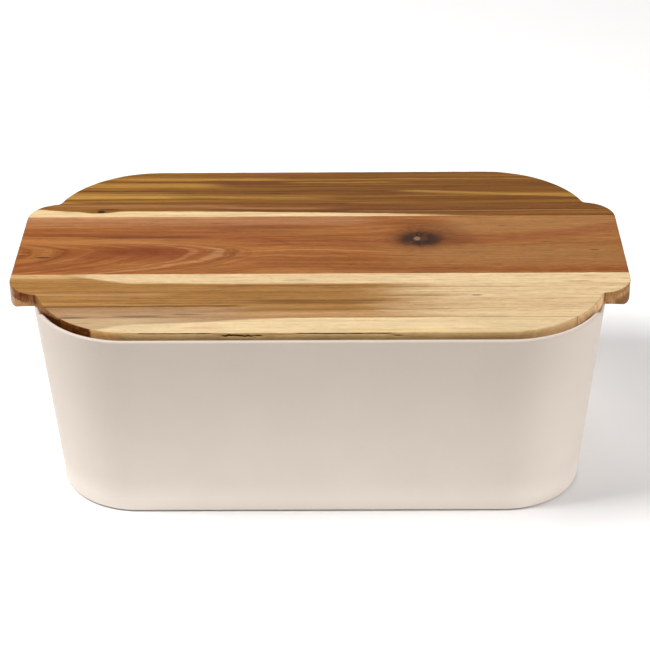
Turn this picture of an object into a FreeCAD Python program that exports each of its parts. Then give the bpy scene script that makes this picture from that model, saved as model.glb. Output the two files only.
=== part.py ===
import FreeCAD, Part
import math
import os

import Sketcher

# Bread bin: a moulded tub with a loose wooden lid that doubles as a chopping board.
# Frame: origin at the middle of the tub's underside, +X along the length, +Y to the rear, +Z up.
# All sizes are in millimetres and angles in degrees.

DIMENSIONS = {
    # the lid: a board glued up from staves, with a hand grip at each end
    "grip_span": 380.0,
    "grip_width": 122.0,
    "grip_corner_radius": 20.0,
    "grip_root_radius": 3.0,
    "board_length": 348.0,
    "board_width": 216.0,
    "board_corner_radius": 66.0,
    "board_thickness": 13.4,
    "upper_edge_radius": 0.6,
    "lower_edge_radius": 1.0,
    # a shallow cove under each grip, right across the board, that sits over the rim
    "cove_depth": 5.4,
    "cove_radius": 25.0,
    "cove_distance": 171.5,
    # glue lines between the staves, as distances from the middle of the board
    "rear_glue_line": 42.0,
    "front_glue_line": -35.6,
    "edge_glue_line": -90.3,
    # the tub: one moulding that widens upwards, measured over its rim
    "tub_length": 348.8,
    "tub_width": 224.0,
    "tub_corner_radius": 61.0,
    "tub_height": 128.0,
    "wall_thickness": 2.8,
    "floor_thickness": 3.5,
    "draft_angle": 5.0,
    "floor_corner_radius": 10.0,
    "base_edge_radius": 2.0,
    "rim_edge_radius": 1.3,
    # play between the rim and the roof of the coves
    "seat_clearance": 0.5,
    # the rim dips at each end, where a grip crosses it
    "rim_dip_depth": 4.7,
    "rim_dip_floor": 136.0,
    "rim_dip_ramp": 14.0,
    # stock left above the rim before the rim line is cut
    "rim_trim_stock": 6.0,
}

# Sizes that follow from the sheet, as expressions on its cells.
SEAT_HEIGHT = "(sheet.tub_height - sheet.rim_dip_depth + sheet.seat_clearance)"
BOARD_UNDERSIDE = f"({SEAT_HEIGHT} - sheet.cove_depth)"
BASE_INSET = "(sheet.tub_height * tan(sheet.draft_angle))"
CAVITY_DRAFT = "((sheet.tub_height - sheet.floor_thickness) * tan(sheet.draft_angle))"
CAVITY_INSET = f"(sheet.wall_thickness + {CAVITY_DRAFT})"

# How far from a plane still counts as lying on it.
PLANE_TOLERANCE = 0.01

# The least a cut has to take away, in cubic millimetres.
SMALLEST_CUT = 1.0

# A rounded rectangle is first drawn at this size; its constraints then pull it to the real one.
DRAFT_HALF_LENGTH = 100.0
DRAFT_HALF_WIDTH = 60.0
DRAFT_CORNER = 20.0

doc = FreeCAD.newDocument("bread_bin")


def make_sheet():
    """The driving dimensions, one aliased cell each."""
    cells = doc.addObject("Spreadsheet::Sheet", "sheet")
    for row, (name, value) in enumerate(DIMENSIONS.items(), start=1):
        cells.set(f"A{row}", name)
        cells.set(f"B{row}", str(value))
        cells.setAlias(f"B{row}", name)
    doc.recompute()
    return cells


sheet = make_sheet()


def new_body(name):
    body = doc.addObject("PartDesign::Body", name)
    body.Label = name
    return body


def new_sketch(body, role, name):
    """A sketch on one of the body's own origin planes."""
    plane = next(feature for feature in body.Origin.OriginFeatures if feature.Role == role)
    sketch = body.newObject("Sketcher::SketchObject", name)
    sketch.AttachmentSupport = (plane, [""])
    sketch.MapMode = "FlatFace"
    return sketch


def bind(sketch, kind, arguments, name, expression):
    """Add a dimensional constraint and tie it to the sheet."""
    value = float(sketch.evalExpression(expression))
    index = sketch.addConstraint(Sketcher.Constraint(kind, *arguments, value))
    sketch.renameConstraint(index, name)
    sketch.setExpression(f"Constraints.{name}", expression)


def draw_rounded_rectangle(sketch, length, width, radius):
    """A rounded rectangle centred on the origin; its three sizes are expressions."""
    half_x, half_y = DRAFT_HALF_LENGTH, DRAFT_HALF_WIDTH
    straight_x, straight_y = half_x - DRAFT_CORNER, half_y - DRAFT_CORNER
    lines = [
        ((straight_x, half_y), (-straight_x, half_y)),
        ((-half_x, straight_y), (-half_x, -straight_y)),
        ((-straight_x, -half_y), (straight_x, -half_y)),
        ((half_x, -straight_y), (half_x, straight_y)),
    ]
    centres = [
        (-straight_x, straight_y),
        (-straight_x, -straight_y),
        (straight_x, -straight_y),
        (straight_x, straight_y),
    ]
    normal = FreeCAD.Vector(0, 0, 1)
    for start, end in lines:
        segment = Part.LineSegment(FreeCAD.Vector(*start, 0), FreeCAD.Vector(*end, 0))
        sketch.addGeometry(segment, False)
    for quarter, centre in enumerate(centres, start=1):
        circle = Part.Circle(FreeCAD.Vector(*centre, 0), normal, DRAFT_CORNER)
        first = math.radians(90 * quarter)
        sketch.addGeometry(Part.ArcOfCircle(circle, first, first + math.pi / 2), False)
    for side in range(4):
        arc, following = 4 + side, (side + 1) % 4
        sketch.addConstraint(Sketcher.Constraint("Tangent", side, 2, arc, 1))
        sketch.addConstraint(Sketcher.Constraint("Tangent", arc, 2, following, 1))
    for side in (0, 2):
        sketch.addConstraint(Sketcher.Constraint("Horizontal", side))
        sketch.addConstraint(Sketcher.Constraint("Vertical", side + 1))
    for arc in (5, 6, 7):
        sketch.addConstraint(Sketcher.Constraint("Equal", 4, arc))
    sketch.addConstraint(Sketcher.Constraint("Symmetric", 4, 3, 6, 3, -1, 1))
    bind(sketch, "DistanceX", (1, 1, 3, 2), "Length", length)
    bind(sketch, "DistanceY", (2, 1, 0, 2), "Width", width)
    bind(sketch, "Radius", (4,), "Corner", radius)


def draw_outline(sketch, part, inset):
    """The outline of the board or the tub, moved inwards by an expression all round."""
    draw_rounded_rectangle(
        sketch,
        f"sheet.{part}_length - 2 * {inset}",
        f"sheet.{part}_width - 2 * {inset}",
        f"sheet.{part}_corner_radius - {inset}",
    )


def edge_names(feature, wanted):
    """Names of the feature's edges that pass the test."""
    edges = enumerate(feature.Shape.Edges, start=1)
    return [f"Edge{number}" for number, edge in edges if wanted(edge)]


def lies_at_height(edge, height):
    box = edge.BoundBox
    return abs(box.ZMin - height) < PLANE_TOLERANCE and abs(box.ZMax - height) < PLANE_TOLERANCE


def add_fillet(body, base, name, edges, radius):
    if not edges:
        raise RuntimeError(f"{name} found no edges to round")
    fillet = body.newObject("PartDesign::Fillet", name)
    fillet.Base = (base, edges)
    fillet.setExpression("Radius", radius)
    doc.recompute()
    return fillet


def add_pocket(body, name, profile, before):
    """A cut right through, both ways from its sketch; it must take something away."""
    pocket = body.newObject("PartDesign::Pocket", name)
    pocket.Profile = profile
    pocket.Type = "ThroughAll"
    pocket.Midplane = True
    doc.recompute()
    if pocket.Shape.Volume > before.Shape.Volume - SMALLEST_CUT:
        raise RuntimeError(f"{name} cut nothing")
    return pocket


def draw_rim_line(sketch):
    """Everything above the rim line, seen along the length.

    The line is level at full height, sinks to the floor of the dip along two equal arcs,
    and rises again the same way on the other side.
    """
    top = sheet.tub_height
    low = top - sheet.rim_dip_depth
    flat = sheet.rim_dip_floor / 2
    ramp = sheet.rim_dip_ramp
    high_end = flat + ramp
    above = top + 2 * sheet.rim_trim_stock
    side = sheet.board_width
    radius = (ramp**2 + sheet.rim_dip_depth**2) / (4 * sheet.rim_dip_depth)
    swing = 2 * math.atan2(sheet.rim_dip_depth, ramp)
    upright = math.pi / 2

    def line(start, end):
        segment = Part.LineSegment(FreeCAD.Vector(*start, 0), FreeCAD.Vector(*end, 0))
        return sketch.addGeometry(segment, False)

    def arc(centre, first, last):
        circle = Part.Circle(FreeCAD.Vector(*centre, 0), FreeCAD.Vector(0, 0, 1), radius)
        return sketch.addGeometry(Part.ArcOfCircle(circle, first, last), False)

    left_level = line((-side, top), (-high_end, top))
    left_crest = arc((-high_end, top - radius), upright - swing, upright)
    left_sag = arc((-flat, low + radius), -upright - swing, -upright)
    dip_floor = line((-flat, low), (flat, low))
    right_sag = arc((flat, low + radius), -upright, -upright + swing)
    right_crest = arc((high_end, top - radius), upright, upright + swing)
    right_level = line((high_end, top), (side, top))
    right_end = line((side, top), (side, above))
    lid_line = line((side, above), (-side, above))
    left_end = line((-side, above), (-side, top))

    joins = [
        ("Tangent", left_level, 2, left_crest, 2),
        ("Tangent", left_crest, 1, left_sag, 1),
        ("Tangent", left_sag, 2, dip_floor, 1),
        ("Tangent", dip_floor, 2, right_sag, 1),
        ("Tangent", right_sag, 2, right_crest, 2),
        ("Tangent", right_crest, 1, right_level, 1),
        ("Coincident", right_level, 2, right_end, 1),
        ("Coincident", right_end, 2, lid_line, 1),
        ("Coincident", lid_line, 2, left_end, 1),
        ("Coincident", left_end, 2, left_level, 1),
    ]
    for join in joins:
        sketch.addConstraint(Sketcher.Constraint(*join))
    for level in (left_level, right_level, lid_line):
        sketch.addConstraint(Sketcher.Constraint("Horizontal", level))
    for end in (right_end, left_end):
        sketch.addConstraint(Sketcher.Constraint("Vertical", end))
    for curve in (left_sag, right_sag, right_crest):
        sketch.addConstraint(Sketcher.Constraint("Equal", left_crest, curve))
    sketch.addConstraint(Sketcher.Constraint("Symmetric", dip_floor, 1, dip_floor, 2, -2))
    sketch.addConstraint(Sketcher.Constraint("Symmetric", left_level, 1, right_level, 2, -2))
    half_floor = "sheet.rim_dip_floor / 2"
    bind(sketch, "DistanceX", (-1, 1, dip_floor, 2), "DipFloor", half_floor)
    low_line = "sheet.tub_height - sheet.rim_dip_depth"
    bind(sketch, "DistanceY", (-1, 1, dip_floor, 2), "DipHeight", low_line)
    bind(sketch, "DistanceY", (-1, 1, right_level, 1), "RimHeight", "sheet.tub_height")
    ramp_end = "sheet.rim_dip_floor / 2 + sheet.rim_dip_ramp"
    bind(sketch, "DistanceX", (-1, 1, right_level, 1), "RampEnd", ramp_end)
    bind(sketch, "DistanceX", (-1, 1, right_level, 2), "CutSide", "sheet.board_width")
    cut_top = "sheet.tub_height + 2 * sheet.rim_trim_stock"
    bind(sketch, "DistanceY", (-1, 1, right_end, 2), "CutTop", cut_top)


def make_tub():
    """A rounded rectangular tub with drafted walls, a rounded rim and a dip at each end."""
    body = new_body("tub")

    base_outline = new_sketch(body, "XY_Plane", "base_outline")
    draw_outline(base_outline, "tub", BASE_INSET)
    walls = body.newObject("PartDesign::Pad", "walls")
    walls.Profile = base_outline
    walls.setExpression("Length", "sheet.tub_height + sheet.rim_trim_stock")
    walls.setExpression("TaperAngle", "sheet.draft_angle")
    doc.recompute()

    floor_outline = new_sketch(body, "XY_Plane", "floor_outline")
    floor_outline.setExpression("AttachmentOffset.Base.z", "sheet.floor_thickness")
    draw_outline(floor_outline, "tub", CAVITY_INSET)
    cavity = body.newObject("PartDesign::Pocket", "cavity")
    cavity.Profile = floor_outline
    cavity.Reversed = True
    cavity.setExpression("Length", "sheet.tub_height + sheet.rim_trim_stock")
    cavity.setExpression("TaperAngle", "sheet.draft_angle")
    doc.recompute()
    if cavity.Shape.Volume > walls.Shape.Volume / 2:
        raise RuntimeError("the cavity is not hollowed out")

    rim_line = new_sketch(body, "YZ_Plane", "rim_line")
    draw_rim_line(rim_line)
    rim_cut = add_pocket(body, "rim_cut", rim_line, cavity)

    floor_edges = edge_names(rim_cut, lambda edge: lies_at_height(edge, sheet.floor_thickness))
    floor_corner = add_fillet(
        body, rim_cut, "floor_corner", floor_edges, "sheet.floor_corner_radius"
    )
    base_edges = edge_names(floor_corner, lambda edge: lies_at_height(edge, 0))
    base_edge = add_fillet(body, floor_corner, "base_edge", base_edges, "sheet.base_edge_radius")

    def runs_along_level_rim(edge):
        return lies_at_height(edge, sheet.tub_height) and edge.Length > sheet.board_length / 2

    rim_edges = edge_names(base_edge, runs_along_level_rim)
    add_fillet(body, base_edge, "rim_edge", rim_edges, "sheet.rim_edge_radius")
    return body


def cut_cove(body, board, side, sign):
    """The cove under one grip: a cylinder across the board whose middle hangs below it."""
    profile = new_sketch(body, "XZ_Plane", f"{side}_cove_profile")
    profile.setExpression("AttachmentOffset.Base.x", f"{sign} * sheet.cove_distance")
    hang = sheet.cove_radius - sheet.cove_depth
    centre = FreeCAD.Vector(0, -hang, 0)
    circle = Part.Circle(centre, FreeCAD.Vector(0, 0, 1), sheet.cove_radius)
    profile.addGeometry(circle, False)
    profile.addConstraint(Sketcher.Constraint("PointOnObject", 0, 3, -2))
    bind(profile, "DistanceY", (0, 3, -1, 1), "Hang", "sheet.cove_radius - sheet.cove_depth")
    bind(profile, "Radius", (0,), "Bow", "sheet.cove_radius")
    return add_pocket(body, f"{side}_cove", profile, board)


def make_board():
    """The whole board before it is told apart into staves, resting in the tub."""
    body = new_body("glued_board")

    panel_outline = new_sketch(body, "XY_Plane", "panel_outline")
    draw_outline(panel_outline, "board", "0")
    panel = body.newObject("PartDesign::Pad", "panel")
    panel.Profile = panel_outline
    panel.setExpression("Length", "sheet.board_thickness")

    grip_outline = new_sketch(body, "XY_Plane", "grip_outline")
    draw_rounded_rectangle(
        grip_outline, "sheet.grip_span", "sheet.grip_width", "sheet.grip_corner_radius"
    )
    grips = body.newObject("PartDesign::Pad", "grips")
    grips.Profile = grip_outline
    grips.setExpression("Length", "sheet.board_thickness")
    doc.recompute()

    def is_grip_root(edge):
        """The upright inner corner where a grip's side meets the board's rounded end."""
        box = edge.BoundBox
        upright = box.ZLength > sheet.board_thickness / 2 and box.XLength < PLANE_TOLERANCE
        return upright and abs(abs(box.YMin) - sheet.grip_width / 2) < sheet.grip_root_radius

    root_edges = edge_names(grips, is_grip_root)
    roots = add_fillet(body, grips, "grip_roots", root_edges, "sheet.grip_root_radius")

    upper = edge_names(roots, lambda edge: lies_at_height(edge, sheet.board_thickness))
    upper_edge = add_fillet(body, roots, "upper_edge", upper, "sheet.upper_edge_radius")
    lower = edge_names(upper_edge, lambda edge: lies_at_height(edge, 0))
    lower_edge = add_fillet(body, upper_edge, "lower_edge", lower, "sheet.lower_edge_radius")

    left_cove = cut_cove(body, lower_edge, "left", -1)
    cut_cove(body, left_cove, "right", 1)

    body.setExpression("Placement.Base.z", BOARD_UNDERSIDE)
    doc.recompute()
    return body


def make_stave(name, board, rear_edge, front_edge):
    """One stave: the part of the glued board between two lines across its width."""
    strip = doc.addObject("Part::Box", f"{name}_strip")
    strip.setExpression("Length", "sheet.grip_span")
    strip.setExpression("Width", f"{rear_edge} - ({front_edge})")
    strip.setExpression("Height", "sheet.board_thickness")
    strip.setExpression("Placement.Base.x", "-sheet.grip_span / 2")
    strip.setExpression("Placement.Base.y", front_edge)
    strip.setExpression("Placement.Base.z", BOARD_UNDERSIDE)
    stave = doc.addObject("Part::Common", name)
    stave.Base = board
    stave.Tool = strip
    stave.Label = name
    doc.recompute()
    return stave


def make_staves(board):
    """Four staves, from the rear of the board to the front."""
    lines = [
        "sheet.board_width / 2",
        "sheet.rear_glue_line",
        "sheet.front_glue_line",
        "sheet.edge_glue_line",
        "-sheet.board_width / 2",
    ]
    names = ["rear_stave", "middle_stave", "front_stave", "front_edge_stave"]
    pairs = zip(names, lines[:-1], lines[1:])
    return [make_stave(name, board, rear, front) for name, rear, front in pairs]


def check_document(parts):
    """Stop on any object that failed to compute and on any empty or faulty shape."""
    for item in doc.Objects:
        if "Invalid" in item.State or "Error" in item.State:
            raise RuntimeError(f"{item.Label} failed: {item.State}")
    for piece in parts:
        if piece.Shape.isNull() or not piece.Shape.isValid():
            raise RuntimeError(f"{piece.Label} has no valid shape")
        if len(piece.Shape.Solids) != 1:
            raise RuntimeError(f"{piece.Label} is not one solid")


pieces = [make_tub(), *make_staves(make_board())]
doc.recompute()
check_document(pieces)
os.makedirs("parts", exist_ok=True)
for piece in pieces:
    piece.Shape.exportStep(f"parts/{piece.Label}.step")
    box = piece.Shape.BoundBox
    print(
        f"{piece.Label}: {box.XLength:.1f} x {box.YLength:.1f} x {box.ZLength:.1f} mm, "
        f"z {box.ZMin:.1f} to {box.ZMax:.1f}, {piece.Shape.Volume / 1000:.0f} cm3"
    )
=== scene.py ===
"""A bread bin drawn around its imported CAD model.

The tub and the four staves of its lid are built here as fine meshes in the places that the CAD
gives, and each has a material worked out from its own position. Meshes, lights and the camera
are in metres; the wood and the moulding are described in millimetres, where their detail lives.
"""

import math

import bmesh
import bpy
from mathutils import Matrix, Vector, noise


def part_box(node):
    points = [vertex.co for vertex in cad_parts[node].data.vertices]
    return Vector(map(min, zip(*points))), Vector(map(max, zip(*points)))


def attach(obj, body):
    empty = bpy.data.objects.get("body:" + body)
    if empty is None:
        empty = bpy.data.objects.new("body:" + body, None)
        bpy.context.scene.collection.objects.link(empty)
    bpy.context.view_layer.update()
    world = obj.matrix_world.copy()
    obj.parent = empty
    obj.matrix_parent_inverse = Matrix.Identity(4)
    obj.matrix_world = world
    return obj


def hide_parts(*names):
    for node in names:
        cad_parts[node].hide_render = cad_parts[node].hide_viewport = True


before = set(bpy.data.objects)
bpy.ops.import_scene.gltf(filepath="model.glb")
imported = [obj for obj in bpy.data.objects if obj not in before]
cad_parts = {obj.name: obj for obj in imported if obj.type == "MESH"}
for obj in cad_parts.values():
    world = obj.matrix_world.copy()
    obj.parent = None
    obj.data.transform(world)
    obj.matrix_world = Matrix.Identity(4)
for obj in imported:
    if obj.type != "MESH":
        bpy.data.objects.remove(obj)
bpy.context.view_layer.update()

MM = 0.001

# ------------------------------------------------------------------ sizes of the lid, in metres
LID_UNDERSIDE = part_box("middle_stave")[0].z
LID_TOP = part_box("middle_stave")[1].z
GRIP_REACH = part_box("middle_stave")[1].x
BOARD_HALF_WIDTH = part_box("rear_stave")[1].y
REAR_GLUE_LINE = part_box("middle_stave")[1].y
FRONT_GLUE_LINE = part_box("middle_stave")[0].y
EDGE_GLUE_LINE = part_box("front_edge_stave")[1].y

BOARD_HALF_LENGTH = 174 * MM
BOARD_CORNER = 66 * MM
GRIP_HALF_WIDTH = 61 * MM
GRIP_CORNER = 20 * MM
GRIP_ROOT = 3 * MM
UPPER_EDGE = 0.6 * MM
LOWER_EDGE = 1 * MM
COVE_CENTRE = 171.5 * MM
COVE_RADIUS = 25 * MM
COVE_DEPTH = 5.4 * MM

# ------------------------------------------------------------------ sizes of the tub, in metres
TUB_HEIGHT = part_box("tub")[1].z
RIM_HALF_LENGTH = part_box("tub")[1].x
RIM_HALF_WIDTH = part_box("tub")[1].y
RIM_CORNER = 61 * MM
DRAFT = math.tan(math.radians(5))
WALL = 2.8 * MM
FLOOR = 3.5 * MM
RIM_EDGE = 1.3 * MM
BASE_EDGE = 2 * MM
FLOOR_CORNER = 10 * MM
DIP_DEPTH = 4.7 * MM
DIP_HALF_FLOOR = 68 * MM
DIP_RAMP = 14 * MM


# ------------------------------------------------------------------ mesh helpers
def add_piece(name, points, faces, sharp_angle, body, node):
    """A closed mesh that rides on a body and stands for a CAD node."""
    mesh = bpy.data.meshes.new(name)
    mesh.from_pydata(points, [], faces)
    shape = bmesh.new()
    shape.from_mesh(mesh)
    bmesh.ops.recalc_face_normals(shape, faces=shape.faces)
    shape.to_mesh(mesh)
    shape.free()
    mesh.shade_smooth()
    mesh.set_sharp_from_angle(angle=math.radians(sharp_angle))
    piece = bpy.data.objects.new(name, mesh)
    bpy.context.scene.collection.objects.link(piece)
    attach(piece, body)
    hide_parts(node)
    return piece


def evenly(first, last, steps):
    """Numbers from first to last in equal steps, both ends included."""
    return [first + (last - first) * step / steps for step in range(steps + 1)]


# ------------------------------------------------------------------ the lid's outline
GRIP_SIDE_STEPS = 8
GRIP_CORNER_STEPS = 14
ROOT_STEPS = 8
BOARD_CORNER_STEPS = 40
ROW_DIGITS = 7

GRIP_CENTRE = Vector((GRIP_REACH - GRIP_CORNER, GRIP_HALF_WIDTH - GRIP_CORNER))
BOARD_CENTRE = Vector((BOARD_HALF_LENGTH - BOARD_CORNER, BOARD_HALF_WIDTH - BOARD_CORNER))


def find_root_centre():
    """Centre of the small hollow where a grip's corner runs into the board's rounded end."""
    from_grip = GRIP_CORNER + GRIP_ROOT
    from_board = BOARD_CORNER + GRIP_ROOT
    apart = GRIP_CENTRE - BOARD_CENTRE
    along = (apart.length**2 + from_board**2 - from_grip**2) / (2 * apart.length)
    aside = math.sqrt(from_board**2 - along**2)
    direction = apart.normalized()
    return BOARD_CENTRE + direction * along + Vector((-direction.y, direction.x)) * aside


ROOT_CENTRE = find_root_centre()


def touching_height(centre, radius, inset):
    """How far from the middle line the root's hollow touches a rounded corner."""
    share = (radius - inset) / (radius + GRIP_ROOT)
    return centre.y + (ROOT_CENTRE.y - centre.y) * share


def half_length(y, inset):
    """Half the lid's length at a distance from its middle line, with the outline moved inwards."""
    side = abs(y)

    def on_corner(centre, radius):
        return centre.x + math.sqrt(max((radius - inset) ** 2 - (side - centre.y) ** 2, 0))

    if side <= GRIP_CENTRE.y:
        return GRIP_REACH - inset
    if side <= touching_height(GRIP_CENTRE, GRIP_CORNER, inset):
        return on_corner(GRIP_CENTRE, GRIP_CORNER)
    if side <= touching_height(BOARD_CENTRE, BOARD_CORNER, inset):
        hollow = GRIP_ROOT + inset
        return ROOT_CENTRE.x - math.sqrt(hollow**2 - (side - ROOT_CENTRE.y) ** 2)
    return on_corner(BOARD_CENTRE, BOARD_CORNER)


def outward_slope(y):
    """The y part of the outline's outward direction at a distance from the middle line."""
    side = abs(y)
    if side <= GRIP_CENTRE.y:
        slope = 0
    elif side <= touching_height(GRIP_CENTRE, GRIP_CORNER, 0):
        slope = (side - GRIP_CENTRE.y) / GRIP_CORNER
    elif side <= touching_height(BOARD_CENTRE, BOARD_CORNER, 0):
        slope = (ROOT_CENTRE.y - side) / GRIP_ROOT
    else:
        slope = (side - BOARD_CENTRE.y) / BOARD_CORNER
    return math.copysign(slope, y)


def outline_rows():
    """Distances from the middle line at which the outline is followed, closer on its curves."""
    grip_end = touching_height(GRIP_CENTRE, GRIP_CORNER, 0)
    root_end = touching_height(BOARD_CENTRE, BOARD_CORNER, 0)
    grip_turn = math.asin((grip_end - GRIP_CENTRE.y) / GRIP_CORNER)
    board_turn = math.asin((root_end - BOARD_CENTRE.y) / BOARD_CORNER)
    rows = evenly(0, GRIP_CENTRE.y, GRIP_SIDE_STEPS)
    turns = evenly(0, grip_turn, GRIP_CORNER_STEPS)
    rows += [GRIP_CENTRE.y + GRIP_CORNER * math.sin(turn) for turn in turns]
    rows += evenly(grip_end, root_end, ROOT_STEPS)
    turns = evenly(board_turn, math.pi / 2, BOARD_CORNER_STEPS)
    rows += [BOARD_CENTRE.y + BOARD_CORNER * math.sin(turn) for turn in turns]
    both = [side * row for side in (-1, 1) for row in rows]
    return sorted({round(row, ROW_DIGITS) for row in both})


# ------------------------------------------------------------------ the staves
EDGE_STEPS = 5
STAVE_SHARP_ANGLE = 35

# A stave's side has finer steps in its upper part, which shows above the rim.
FACE_STEPS = 6
FACE_TOP_STEPS = 14
VISIBLE_FACE = 4.2 * MM

# Rows of a stave keep this far from its glue lines.
SMALLEST_ROW = 0.3 * MM

# How high the unevenness of the upper edges is, and how quickly it varies.
WEAR = 0.12 * MM
WEAR_PER_METRE = 140

# Columns of a stave lie evenly as far out as its knee, and a cove's step apart beyond it. The front
# edge stave has more of them, for its splits.
KNEE = 150 * MM
COVE_STEP = 0.8 * MM
MIDDLE_STEPS = 40
FRONT_EDGE_STEPS = 260

# The splits along the lid's front edge, in millimetres: where each starts and ends along the edge,
# how deep it bites, how far below the top it runs, its width, and how far it wanders. A split
# reaches SPLIT_END past those places, and tapers off over SPLIT_TAPER.
SPLITS = (
    (-116, -62, 0.6, 0.5, 0.32, 0.2),
    (-58, -33, 0.95, 1.9, 0.6, 0.9),
    (-30, -12, 0.35, 1.5, 0.30, 0.3),
    (-13, 43, 0.75, 0.65, 0.32, 0.2),
    (41, 50, 0.6, 1.9, 0.35, 0.5),
)
SPLIT_END = 3
SPLIT_TAPER = 6


def cove_height(x):
    """How far the cove under each grip rises above the lid's flat underside."""
    across = min(abs(abs(x) - COVE_CENTRE), COVE_RADIUS)
    return max(math.sqrt(COVE_RADIUS**2 - across**2) - (COVE_RADIUS - COVE_DEPTH), 0)


def worn(x, y):
    """A small uneven rise that keeps hand-finished edges from being perfect."""
    return WEAR * noise.noise(Vector((x, y, 0)) * WEAR_PER_METRE)


def edge_profile():
    """The rounded side of a stave from below to above, as inset, share of height and offset.

    A point's height is the underside, plus its share of the thickness, plus its offset.
    """
    levels = []
    for turn in evenly(0, math.pi / 2, EDGE_STEPS):
        inset = LOWER_EDGE * (1 - math.sin(turn))
        levels.append((inset, 0, LOWER_EDGE * (1 - math.cos(turn))))
    thickness = LID_TOP - LID_UNDERSIDE
    visible = 1 - VISIBLE_FACE / thickness
    first, last = LOWER_EDGE / thickness, 1 - UPPER_EDGE / thickness
    shares = evenly(first, visible, FACE_STEPS)[1:] + evenly(visible, last, FACE_TOP_STEPS)[1:-1]
    levels += [(0, share, 0) for share in shares]
    for turn in evenly(0, math.pi / 2, EDGE_STEPS):
        inset = UPPER_EDGE * (1 - math.cos(turn))
        levels.append((inset, 1, UPPER_EDGE * (math.sin(turn) - 1)))
    return levels


LEVELS = edge_profile()


def split_depth(x, z):
    """How far the splits along the lid's front edge bite into it."""
    below = LID_TOP - z
    x_mm = x / MM

    def split(first, last, depth_mm, drop_mm, width_mm, ragged_mm):
        """How far one split bites in here. It tapers off at both ends."""
        if not first - SPLIT_END < x_mm < last + SPLIT_END:
            return 0
        ends = min(x_mm - first, last - x_mm) / SPLIT_TAPER + 0.5
        wander = noise.noise(Vector((x_mm * 0.11, first, 0))) * ragged_mm
        rough = noise.noise(Vector((x_mm * 0.45, first, 5))) * ragged_mm * 0.6
        off_line = (below / MM - drop_mm - wander - rough) / width_mm
        strength = 0.7 + 0.5 * noise.noise(Vector((x_mm * 0.2, first, 9)))
        return depth_mm * MM * max(min(ends, 1), 0) * strength * math.exp(-(off_line**2))

    return sum(split(*measures) for measures in SPLITS)


def make_stave(name, front, rear, middle_steps):
    """One stave of the lid, between two lines across its width.

    Rows run from the left outline to the right one, and columns lie closer over the coves.
    Its outline is rounded above and below, and its glued faces are flat.
    """
    rows = [row for row in outline_rows() if front + SMALLEST_ROW < row < rear - SMALLEST_ROW]
    rows = [front, *rows, rear]
    glued = {row for row in (front, rear) if abs(row) < BOARD_HALF_WIDTH - SMALLEST_ROW}
    cove_steps = round((GRIP_REACH - KNEE) / COVE_STEP)
    columns = evenly(-GRIP_REACH, -KNEE, cove_steps)
    columns += evenly(-KNEE, KNEE, middle_steps)[1:-1]
    columns += evenly(KNEE, GRIP_REACH, cove_steps)
    last_row, last_column, last_level = len(rows) - 1, len(columns) - 1, len(LEVELS) - 1

    def place(row, column, level):
        inset, share, offset = LEVELS[level]
        y = rows[row]
        if y not in glued:
            y -= inset * outward_slope(y)
        end = half_length(y, inset)
        knee = min(KNEE, end - (GRIP_REACH - KNEE) / 2)
        stop = abs(columns[column])
        if stop <= KNEE:
            x = stop * knee / KNEE
        else:
            x = knee + (stop - KNEE) * (end - knee) / (GRIP_REACH - KNEE)
        x = math.copysign(x, columns[column])
        rise = cove_height(x)
        bottom = LID_UNDERSIDE + rise
        if share == 0:
            offset *= max(1 - rise / LOWER_EDGE, 0)
        z = bottom + share * (LID_TOP - bottom) + offset
        on_upper_edge = 0 < inset < UPPER_EDGE and share == 1
        if on_upper_edge:
            z += worn(x, y)
        if row == 0 and front not in glued and share > 0:
            y += split_depth(x, z)
        return (x, y, z)

    points, index = [], {}

    def point(row, column, level):
        key = (row, column, level)
        if key not in index:
            index[key] = len(points)
            points.append(place(*key))
        return index[key]

    faces = []
    for level in (0, last_level):
        for row in range(last_row):
            for column in range(last_column):
                corners = [(row, column), (row, column + 1), (row + 1, column + 1), (row + 1, column)]
                faces.append([point(*corner, level) for corner in corners])
    for level in range(last_level):
        for column in (0, last_column):
            for row in range(last_row):
                corners = [(row, level), (row + 1, level), (row + 1, level + 1), (row, level + 1)]
                faces.append([point(at, column, height) for at, height in corners])
    for row in (0, last_row):
        if rows[row] in glued:
            edge = [point(row, column, 0) for column in range(last_column + 1)]
            edge += [point(row, last_column, level) for level in range(1, last_level)]
            edge += [point(row, column, last_level) for column in range(last_column, -1, -1)]
            edge += [point(row, 0, level) for level in range(last_level - 1, 0, -1)]
            faces.append(edge)
            continue
        for level in range(last_level):
            for column in range(last_column):
                ends = [(column, level), (column + 1, level), (column + 1, level + 1), (column, level + 1)]
                faces.append([point(row, across, height) for across, height in ends])
    return add_piece(f"{name}_wood", points, faces, STAVE_SHARP_ANGLE, "lid", name)


# ------------------------------------------------------------------ the tub
CORNER_STEPS = 48
LONG_SIDE_STEPS = 40
SHORT_SIDE_STEPS = 24
ROUNDING_STEPS = 6
BAND_STEPS = 4
OUTER_WALL_STEPS = 18
INNER_WALL_STEPS = 16
FLOOR_CORNER_STEPS = 12
TUB_SHARP_ANGLE = 50

# A band below the rim's crest follows its dips, and the wall below it stays level.
BAND_TOP = 2 * MM
BAND_FOOT = 9 * MM
WALL_BELOW_CREST = 9.5 * MM
WALL_TOP = TUB_HEIGHT - 14 * MM
WALL_FOOT = 6 * MM

# The flat base and floor start with rings this far in from their rounded edges, and go on with
# copies of the last ring at these shares of its size.
BASE_RINGS = (14 * MM, 2 * MM)
FLOOR_RING = 4 * MM
FILL_SHARES = (0.8, 0.5, 0.2)


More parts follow.
